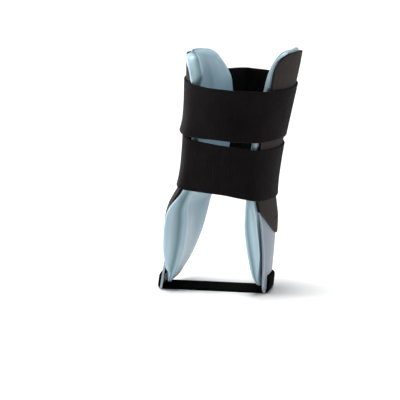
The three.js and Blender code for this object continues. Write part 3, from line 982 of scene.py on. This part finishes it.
def pillow_mesh(name, front, back):
    """Two grids joined by their shared border. The back's border points are left out."""
    rows, columns = front.shape[:2]
    number = np.arange(rows * columns).reshape(rows, columns)
    border = np.ones((rows, columns), bool)
    border[1:-1, 1:-1] = False
    other = np.where(border, number, 0)
    inside = np.arange((rows - 2) * (columns - 2)).reshape(rows - 2, columns - 2)
    other[1:-1, 1:-1] = rows * columns + inside
    quads = grid_quads(rows, columns)
    faces = np.concatenate([quads, other.ravel()[quads][:, ::-1]])
    points = np.concatenate([front.reshape(-1, 3), back[1:-1, 1:-1].reshape(-1, 3)])
    return fill_mesh(name, points, faces), np.flatnonzero(border.ravel())


# %% Blow the pillow up
SWELL_FRAMES = 20
PRESSURE = 4
PAD_SWELL = 5.0
PAD_CURL_CLEAR = 3.0
STRAPS_START = (LOWER_STRAP_BASE - 8, LOWER_STRAP_BASE)
STRAPS_END = (199, 207)
TIGHT_ROOM = 0.4
LOOSE_ROOM = 4.5
FOOT_ROOM = 1.5
TOP_ROOM = 2.5


def inflate(piece, pinned):
    """Runs cloth with inner pressure and gives the swollen points. The weld is pinned."""
    group = piece.vertex_groups.new(name="weld")
    group.add(pinned.tolist(), 1.0, "REPLACE")
    cloth = piece.modifiers.new("cloth", "CLOTH")
    cloth.settings.use_pressure = True
    cloth.settings.uniform_pressure_force = PRESSURE
    cloth.settings.effector_weights.gravity = 0
    cloth.settings.vertex_group_mass = "weld"
    cloth.collision_settings.use_collision = False
    scene = bpy.context.scene
    for number in range(SWELL_FRAMES):
        scene.frame_set(number + 1)
    shown = piece.evaluated_get(bpy.context.evaluated_depsgraph_get())
    swollen = read_points(shown.data)
    piece.modifiers.remove(cloth)
    piece.vertex_groups.remove(group)
    scene.frame_set(1)
    return swollen


def keep_clear(side, points):
    """Holds a pad's points off the shell behind it and inside the straps beside it."""
    around, z, depth = side_place(side, points)
    depth = np.maximum(depth, curl_depth(side, around, z, PAD_CURL_CLEAR))
    squeezed = ease(z, *STRAPS_START) * (1 - ease(z, *STRAPS_END))
    top = top_of(side, PAD_TOP)
    flat_z = z + rake(side, around, z)
    front, rear = pad_edges(side, flat_z, LOOSE_ROOM * (1 - squeezed) + TIGHT_ROOM)
    around = np.clip(around, front, rear)
    flat_z = np.clip(flat_z, PAD_FOOT - FOOT_ROOM, top + TOP_ROOM)
    return side_point(side, around, flat_z - rake(side, around, flat_z), depth)


# %% Build the pads


def make_pad(name, side):
    """The swollen pillow, subdivided once for good and once live. The weld value marks the border, and
    the first subdivision spreads it to the crease beside it, where the film's material paints shade."""
    front, back = pad_grids(side)
    pad, border = pillow_mesh("padded_" + name, front, back)
    points = read_points(pad.data)
    move = inflate(pad, border) - points
    length = np.linalg.norm(move, axis=1, keepdims=True)
    points = points + move * np.minimum(1, PAD_SWELL / np.maximum(length, 1e-6))
    print(name, "swelled by up to", round(float(length.max()), 1), "mm before the cap")
    write_points(pad.data, keep_clear(side, points))
    # The weld value darkens the film there as painted shade.
    set_value(pad, "weld", np.isin(np.arange(len(points)), border).astype(float))
    subdivide = pad.modifiers.new("fine", "SUBSURF")
    subdivide.levels = subdivide.render_levels = 1
    shown = pad.evaluated_get(bpy.context.evaluated_depsgraph_get())
    fine = bpy.data.meshes.new_from_object(shown)
    pad.modifiers.clear()
    pad.data = fine
    last = pad.modifiers.new("smooth", "SUBSURF")
    last.levels = last.render_levels = 1
    finish_piece(pad, bladder_film, "bladder_film", name)


for name, side in (("lateral_pad", 1), ("medial_pad", -1)):
    make_pad(name, side)

# %% [markdown]
# ## Elastic straps
# A strap hugs both covers and bows out across the front and the back, past the pads. Its inner face
# seen from above is two side arcs joined by two flatter arcs. Real elastic rounds the corners, so the
# joined loop is smoothed a little along its length. The band's section is carried round it. Each
# strap runs aslant, bows a little more at one edge than at the other, and laps over its own start.

# %% The strap's loop
CORNER_TURN = 48.0
STRAP_SLACK = 0.15
CORNER_CLEARANCE = 0.8
CORNER_PAST = 4.5
FRONT_BULGE = 13.4
REAR_BULGE = 12.0
LAP_START = 108.0
LAP_TURN = 48.0
LOOP_STEPS = 900
CORNER_SOFTNESS = 2.4
FLARE_TURN = 200
FLARE_FADE = (25, 60)
UPPER_STRAP = {
    "base": UPPER_STRAP_BASE,
    "tilt": -0.045,
    "front": (0.62, 1.0),
    "rear": (0.8, 1.0),
    "lift": 0.0,
    "flare": 3.2,
}
LOWER_STRAP = {
    "base": LOWER_STRAP_BASE,
    "tilt": -0.106,
    "front": (0.3, 0.3),
    "rear": (0.4, 0.7),
    "lift": 2.0,
    "flare": 0.0,
}


def corner_angle(side, end, z):
    """Angle round a side's arc where a strap leaves the cover's edge, end -1 in front, 1 behind."""
    _, girth, radius = shell_at(side, z)
    return (end * (girth + COVER_OVERHANG + CORNER_PAST) + set_back(side, z)) / radius


def strap_side(side, angle, lift, z):
    """A point of the strap's inner face against a side."""
    reach, _, radius = shell_at(side, z)
    out = radius + COVER_WALL + COVER_GAP + GAP + STRAP_SLACK + lift
    return np.stack([side * (reach - radius + out * np.cos(angle)), out * np.sin(angle)], axis=-1)


def arc_between(a, b, bulge, t):
    """Point at share t of the circular arc from a to b that bows out to its right by bulge."""
    chord = b - a
    half = np.linalg.norm(chord, axis=-1) / 2
    radius = (half**2 + bulge**2) / (2 * bulge)
    lean = np.arcsin(half / radius) * (2 * t - 1)
    along = half + radius * np.sin(lean)
    out = radius * np.cos(lean) - (radius - bulge)
    unit = chord / (2 * half)[..., None]
    normal = np.stack([unit[..., 1], -unit[..., 0]], axis=-1)
    return a + along[..., None] * unit + out[..., None] * normal


def strap_loop(turn, z, front_sag, rear_sag):
    """The strap's inner face from above at turn degrees from the outer side towards the heel."""
    turn, z, front_sag, rear_sag = np.broadcast_arrays(turn % 360.0, z, front_sag, rear_sag)
    ends = [(side, end) for side in (1, -1) for end in (1, -1)]
    corner = {(s, e): strap_side(s, corner_angle(s, e, z), CORNER_CLEARANCE, z) for s, e in ends}
    across = 180 - 2 * CORNER_TURN
    rear = arc_between(corner[1, 1], corner[-1, 1], rear_sag, (turn - CORNER_TURN) / across)
    front = arc_between(corner[-1, -1], corner[1, -1], front_sag, (turn - 180 - CORNER_TURN) / across)
    loop = np.where((turn < 180)[..., None], rear, front)
    for side in (1, -1):
        from_side = (turn + 180) % 360 - 180 if side > 0 else 180 - turn
        share = np.abs(from_side) / CORNER_TURN
        lift = CORNER_CLEARANCE * ease(share, 0.5, 1)
        middle = set_back(side, z) / shell_at(side, z)[2]
        edge = corner_angle(side, np.where(from_side < 0, -1, 1), z)
        hug = strap_side(side, middle + (edge - middle) * share, lift, z)
        loop = np.where((share <= 1)[..., None], hug, loop)
    return loop


def soften_loop(loop, width):
    """Rounds a closed loop's corners: a weighted mean of its neighbours within a few millimetres."""
    step = np.linalg.norm(loop - np.roll(loop, 1, axis=0), axis=-1).mean()
    reach = int(3 * width / step)
    offsets = np.arange(-reach, reach + 1)
    weights = np.exp(-0.5 * (offsets * step / width) ** 2)
    weights /= weights.sum()
    return sum(w * np.roll(loop, k, axis=0) for k, w in zip(offsets, weights))


# %% The strap's inner face


def strap_surface(strap, across):
    """Inner face and outward normal of a strap for every turn of the loop and each place across it.
    The height is the level place across plus the tilt times x, and its lower edge may be lifted in
    front or flared outwards on the inner side."""
    share = across / STRAP_WIDTH
    front = FRONT_BULGE * (strap["front"][0] + share * (strap["front"][1] - strap["front"][0]))
    rear = REAR_BULGE * (strap["rear"][0] + share * (strap["rear"][1] - strap["rear"][0]))
    turn = np.arange(LOOP_STEPS)[:, None] * 360.0 / LOOP_STEPS
    flat = strap["base"] + across[None, :]
    rough = strap_loop(turn, flat, front[None, :], rear[None, :])
    forward = np.clip(-rough[..., 1] / np.linalg.norm(rough, axis=-1), 0, 1)
    z = flat + strap["tilt"] * rough[..., 0] + strap["lift"] * (1 - share) * forward**4
    face = soften_loop(strap_loop(turn, z, front[None, :], rear[None, :]), CORNER_SOFTNESS)
    ahead = np.roll(face, -1, axis=0) - np.roll(face, 1, axis=0)
    ahead /= np.linalg.norm(ahead, axis=-1, keepdims=True)
    normal = np.stack([ahead[..., 1], -ahead[..., 0], 0 * z], axis=-1)
    beside = 1 - ease(np.abs(turn - FLARE_TURN), *FLARE_FADE)
    flare = strap["flare"] * np.clip(1 - share, 0, 1) ** 5 * beside
    return np.concatenate([face, z[..., None]], axis=-1) + flare[..., None] * normal, normal


# %% Build the straps
BAND_STEPS = 26
RIB_PITCH = 2.6
RIB_HEIGHT = 0.09
RIB_FADE = 3
EDGE_WAVER = 0.4
EDGE_ZONE = 1.5
LAP_RISES = (348, 360)


def lap_offset(turned):
    """How far the strap's inner face stands off the covers: near its end it laps over its start."""
    return (STRAP_WALL + GAP) * ease(turned, *LAP_RISES)


def loop_length(face):
    """Distance along the loop at its middle, from its first turn, for one round."""
    middle = face[:, face.shape[1] // 4]
    steps = np.linalg.norm(np.roll(middle, -1, axis=0) - middle, axis=-1)
    return np.concatenate([[0], np.cumsum(steps)])


def make_strap(name, strap):
    """The band carried round its loop and over its start. Ribs are a cosine of the distance along, on
    the outer face alone, and two sines of unlike lengths let the edges waver."""
    across, off = band_profile(STRAP_WIDTH, STRAP_WALL, BAND_STEPS)
    face, normal = strap_surface(strap, across)
    along = loop_length(face)
    first = int(LAP_START / 360 * LOOP_STEPS)
    count = int((360 + LAP_TURN) / 360 * LOOP_STEPS) + 1
    index = first + np.arange(count)
    turned = np.arange(count) * 360.0 / LOOP_STEPS
    length = along[index % LOOP_STEPS] + along[-1] * (index // LOOP_STEPS)
    from_edge = np.minimum(across, STRAP_WIDTH - across)
    outer = (off > STRAP_WALL / 2) * ease(from_edge, 0, RIB_FADE)
    ribs = RIB_HEIGHT * (np.cos(2 * np.pi * length / RIB_PITCH) - 1)[:, None] * outer[None, :]
    wave = 0.25 * np.sin(length / 9.0) + 0.18 * np.sin(length / 4.1 + 1)
    edge = (from_edge < EDGE_ZONE) * EDGE_WAVER
    away = lap_offset(turned)[:, None] + off[None, :] + ribs
    rings = face[index % LOOP_STEPS] + away[..., None] * normal[index % LOOP_STEPS]
    rings[..., 2] += wave[:, None] * edge[None, :]
    made = swept_mesh("woven_" + name, rings)
    set_uv(made, length[:, None] + 0 * rings[..., 0], across[None, :] + 0 * rings[..., 0])
    finish_piece(made, strap_elastic, "strap_elastic", name)


make_strap("upper_strap", UPPER_STRAP)
make_strap("lower_strap", LOWER_STRAP)

# %% [markdown]
# ## Hook tabs
# The end of each strap carries a tab of hook tape, sewn on and pressed down past the end. It follows
# the same loop further off, narrower than the strap and rounded at its free end. A double row of
# stitches, each a short thread, holds it.

# %% A strap's face at any place
FACE_COLUMNS = 60


def on_face(face, row, across):
    """Points of the strap's face at places across it, each between its two nearest columns, and the
    column before each."""
    place = np.clip(across / STRAP_WIDTH * (FACE_COLUMNS - 1), 0, FACE_COLUMNS - 1.001)
    cell = place.astype(int)
    blend = (place - cell)[..., None]
    return face[row, cell] * (1 - blend) + face[row, cell + 1] * blend, cell


# %% Stitches
STITCH_LENGTH = 2.6
STITCH_RADIUS = 0.32
STITCH_SPACE = 0.9
STITCH_BOW = 0.3
STITCH_SINK = 0.15
STITCH_ROWS = (5, 12)
STITCH_STEPS = 7
STITCH_SIDES = 8
FIRST_STITCH = 6
LAST_STITCH = 45


def make_stitches(name, face, normal, first, height):
    """Two upright rows of short threads. Each is a small ring of points carried along a bow, whose
    height and thickness follow half a sine."""
    turn = np.linspace(0, 2 * np.pi, STITCH_SIDES, endpoint=False)[None, :, None]
    bow = np.sin(np.linspace(0, np.pi, STITCH_STEPS))
    size = STITCH_RADIUS * (0.55 + 0.45 * bow)[:, None, None]
    quads = swept_quads(STITCH_STEPS, STITCH_SIDES)
    starts = np.arange(FIRST_STITCH, LAST_STITCH, STITCH_LENGTH + STITCH_SPACE)
    points = []
    for column in STITCH_ROWS:
        for start in starts:
            across = start + np.linspace(0, STITCH_LENGTH, STITCH_STEPS)
            line, cell = on_face(face, first + column, across)
            out = normal[first + column, cell]
            line = line + out * (height + STITCH_BOW * bow - STITCH_SINK)[:, None]
            beside = np.cross(out, [0, 0, 1.0])
            ring = np.cos(turn) * out[:, None] + np.sin(turn) * beside[:, None]
            points.append((line[:, None] + size * ring).reshape(-1, 3))
    number = np.arange(len(points))[:, None, None] * STITCH_STEPS * STITCH_SIDES
    made = fill_mesh(name, np.concatenate(points), (quads + number).reshape(-1, 4))
    finish_piece(made, thread, "hook_tab")
    print(len(points), "stitches")


# %% Build the tabs
TAB_WALL = 1.4
TAB_MARGIN = 2.0
TAB_TURN = 42.0
TAB_SEWN_TURN = 15.0
TAB_CORNER_WIDTH = 4
TAB_CORNER_TURN = 6
TAB_STEPS_DOWN = (2, 13)


def tab_offset(past):
    """The tab's distance off the strap's inner face: it steps down from the lapped end."""
    raised = 1 - ease(past, *TAB_STEPS_DOWN)
    return STRAP_WALL + GAP + raised * (STRAP_WALL + GAP)


def make_tab(name, strap):
    """A band carried along the strap's own face. Its places across are squeezed towards the middle by
    the margin and by a rounded corner at the free end."""
    across, off = band_profile(STRAP_WIDTH, TAB_WALL, BAND_STEPS)
    first = int((LAP_START + LAP_TURN - TAB_SEWN_TURN) / 360 * LOOP_STEPS)
    count = int(TAB_TURN / 360 * LOOP_STEPS) + 1
    past = np.arange(count) * 360.0 / LOOP_STEPS - TAB_SEWN_TURN
    corner = corner_inset(TAB_TURN - TAB_SEWN_TURN - past, TAB_CORNER_WIDTH, TAB_CORNER_TURN)
    inset = (TAB_MARGIN + corner)[:, None]
    narrow = inset + across * (STRAP_WIDTH - 2 * inset) / STRAP_WIDTH
    face, normal = strap_surface(strap, np.linspace(0, STRAP_WIDTH, FACE_COLUMNS))
    row = ((first + np.arange(count)) % LOOP_STEPS)[:, None]
    base, cell = on_face(face, row, narrow)
    away = tab_offset(past)[:, None] + off[None, :]
    made = swept_mesh("hook_" + name, base + away[..., None] * normal[row, cell])
    step = np.linalg.norm(np.diff(base[:, BAND_STEPS // 2 - 1], axis=0), axis=-1)
    length = np.concatenate([[0], np.cumsum(step)])
    set_uv(made, length[:, None] + 0 * narrow, narrow)
    finish_piece(made, hook_tape, "hook_tab", name)
    make_stitches("stitches_" + name, face, normal, first, tab_offset(-TAB_SEWN_TURN) + off.max())


make_tab("upper_strap_tab", UPPER_STRAP)
make_tab("lower_strap_tab", LOWER_STRAP)

# %% [markdown]
# ## Heel stirrup
# Webbing runs under the heel, up round the foot of each shell, in through its slot and up behind the
# pad. Its middle line is straight runs joined by arcs. The band's section is carried along it, and
# bends a little across its width as it lies against the shell's curve.

# %% The heel strap's line
HEEL_BEND = 3.5
SLOT_BEND = 3.0
ARC_STEPS = 10
SOLE_STEPS = 30
RISE_STEPS = 24
HEEL_LINE_STEPS = 170


def arc(cx, cz, radius, start, end):
    """Points of a circular arc in the upright plane: the centre plus the radius times cosine, sine."""
    turn = np.linspace(start, end, ARC_STEPS)
    return np.stack([cx + radius * np.cos(turn), cz + radius * np.sin(turn)], axis=-1)


def heel_line(side):
    """The middle line of one half, from the middle of the sole to the end behind the pad."""
    half = HEEL_STRAP_WALL / 2
    outside = float(shell_at(side, RECESS_HEIGHT)[0]) + GAP + half
    turn_top = SLOT_LOW + GAP / 2
    inside = outside - 2 * SLOT_BEND
    quarter = np.pi / 2
    along = np.linspace(0, outside - HEEL_BEND - 0.5, SOLE_STEPS)
    sole = np.stack([along, np.full(SOLE_STEPS, half)], axis=-1)
    foot = arc(outside - HEEL_BEND, half + HEEL_BEND, HEEL_BEND, -quarter, 0)
    over = arc(outside - SLOT_BEND, turn_top, SLOT_BEND, 0, quarter)
    under = arc(inside + SLOT_BEND, turn_top + 2 * SLOT_BEND, SLOT_BEND, -quarter, -2 * quarter)
    z = np.linspace(turn_top + 2 * SLOT_BEND + 1, HEEL_STRAP_RISE, RISE_STEPS)
    rise = np.stack([shell_at(side, z)[0] - SHELL_WALL - 2 * GAP - half, z], axis=-1)
    line = np.concatenate([sole, foot, over, under[:-2], rise])
    length = np.concatenate([[0], np.cumsum(np.linalg.norm(np.diff(line, axis=0), axis=-1))])
    even = np.linspace(0, length[-1], HEEL_LINE_STEPS)
    return np.stack([np.interp(even, length, line[:, k]) for k in (0, 1)], axis=-1)


# %% Build the heel strap
HEEL_BAND_STEPS = 18


def make_heel_strap():
    """The band carried along both halves. Off the sole its points move in by the fall of the shell's
    arc at their place across: the radius less the root of the radius squared less y squared."""
    line = np.concatenate([heel_line(-1)[:0:-1] * [-1, 1], heel_line(1)])
    ahead = np.gradient(line, axis=0)
    ahead /= np.linalg.norm(ahead, axis=-1, keepdims=True)
    across, off = band_profile(HEEL_STRAP_WIDTH, HEEL_STRAP_WALL, HEEL_BAND_STEPS)
    rise = off - HEEL_STRAP_WALL / 2
    x = line[:, :1] - ahead[:, 1:] * rise
    z = line[:, 1:] + ahead[:, :1] * rise
    y = LATERAL_SET_BACK + across - HEEL_STRAP_WIDTH / 2 + 0 * x
    radius = shell_at(1, np.maximum(line[:, 1:], RECESS_HEIGHT))[2]
    follow = ease(line[:, 1:], HEEL_STRAP_WALL / 2, HEEL_STRAP_WALL / 2 + HEEL_BEND)
    curve = follow * (radius - np.sqrt(radius**2 - y**2))
    rings = np.stack([x - np.sign(line[:, :1]) * curve, y, z], axis=-1)
    made = swept_mesh("woven_heel_strap", rings)
    step = np.linalg.norm(np.diff(line, axis=0), axis=-1)
    length = np.concatenate([[0], np.cumsum(step)])
    set_uv(made, length[:, None] + 0 * x, across[None, :] + 0 * x)
    finish_piece(made, heel_webbing, "heel_webbing", "heel_strap")
    print("heel strap is cut", round(float(length[-1])), "mm long")


make_heel_strap()

# %% [markdown]
# ## Camera
# The brace is seen from in front, a little to its outer side and from above, through a long lens.
# The camera's three axes come from the azimuth and the elevation.

# %% Camera
AZIMUTH = math.radians(11.5)
ELEVATION = math.radians(12.3)
DISTANCE = 6000.0
IMAGE_WIDTH = 379.5
SENSOR = 36.0
AIM_RIGHT = -13.8
AIM_UP = 84.3
AIM_BACK = 28.5
FAR_LIMIT = 50


def camera_axes():
    """Right, up and backward directions of the camera."""
    sin_a, cos_a = math.sin(AZIMUTH), math.cos(AZIMUTH)
    sin_e, cos_e = math.sin(ELEVATION), math.cos(ELEVATION)
    right = np.array([cos_a, sin_a, 0])
    up = np.array([-sin_a * sin_e, cos_a * sin_e, cos_e])
    back = np.array([sin_a * cos_e, -cos_a * cos_e, sin_e])
    return right, up, back


def make_camera():
    """The camera looks at the aim, a sum of the three axes, from a distance behind it. The lens is the
    sensor's width times the distance over the width of what it shows."""
    right, up, back = camera_axes()
    data = bpy.data.cameras.new("camera")
    data.lens = SENSOR * DISTANCE / IMAGE_WIDTH
    data.sensor_width = SENSOR
    data.clip_end = FAR_LIMIT
    camera = bpy.data.objects.new("camera", data)
    bpy.context.scene.collection.objects.link(camera)
    centre = AIM_RIGHT * right + AIM_UP * up + AIM_BACK * back
    place = (centre + DISTANCE * back) * MM
    rows = np.column_stack([right, up, back, place])
    camera.matrix_world = Matrix([*rows.tolist(), [0, 0, 0, 1]])
    bpy.context.scene.camera = camera
    print("camera lens", round(data.lens), "mm")


make_camera()

# %% [markdown]
# ## Floor and light
# A pale floor and a dim white surround stand for the studio sweep. A wide light from straight above
# whitens the floor and leaves upright faces alone. Two soft boxes light the sides, so the front of
# the black straps falls into shade between them.

# %% Floor and light
FLOOR_REACH = 4
SURROUND = 0.08
LIT_POINT = (0, 0, 0.12)
SOFT_BOXES = {
    "right_box": {"place": (1.3, 0.0, 0.5), "size": (0.8, 1.2), "power": 8.5},
    "left_box": {"place": (-1.3, -0.05, 0.5), "size": (0.7, 1.1), "power": 26},
}


def make_floor():
    """One flat square, in metres each way from the middle, in a matt near-white."""
    signs = np.array([[-1, -1, 0], [1, -1, 0], [1, 1, 0], [-1, 1, 0]], float)
    corners = signs * FLOOR_REACH / MM
    floor = fill_mesh("floor", corners, [[0, 1, 2, 3]])
    finish = Finish("pale_floor", 0.9)
    grain = finish.noise(finish.place("Object", (1, 1, 1)), 8, 2)
    finish.colour(finish.mix(grain, (0.88, 0.88, 0.88), (0.92, 0.92, 0.92)))
    floor.data.materials.append(finish.material)


def make_light(name, place, size, power):
    """A rectangular soft box at a place, turned to face the lit point."""
    data = bpy.data.lights.new(name, "AREA")
    data.shape = "RECTANGLE"
    data.size, data.size_y = size
    data.energy = power
    light = bpy.data.objects.new(name, data)
    light.location = place
    light.rotation_euler = (Vector(LIT_POINT) - Vector(place)).to_track_quat("-Z", "Y").to_euler()
    bpy.context.scene.collection.objects.link(light)


def make_sun(name, strength, spread):
    """An even light from straight above, spread over some degrees of the sky."""
    data = bpy.data.lights.new(name, "SUN")
    data.energy = strength
    data.angle = math.radians(spread)
    bpy.context.scene.collection.objects.link(bpy.data.objects.new(name, data))


def make_surround(strength):
    """An even white world."""
    world = bpy.data.worlds.new("surround")
    world.use_nodes = True
    background = world.node_tree.nodes["Background"]
    background.inputs["Color"].default_value = (1, 1, 1, 1)
    background.inputs["Strength"].default_value = strength
    bpy.context.scene.world = world


make_floor()
for name, box in SOFT_BOXES.items():
    make_light(name, **box)
make_sun("top_light", 3.2, 25)
make_surround(SURROUND)
bpy.context.scene.view_settings.view_transform = "Standard"
print("lights:", sorted(light.name for light in bpy.data.lights))
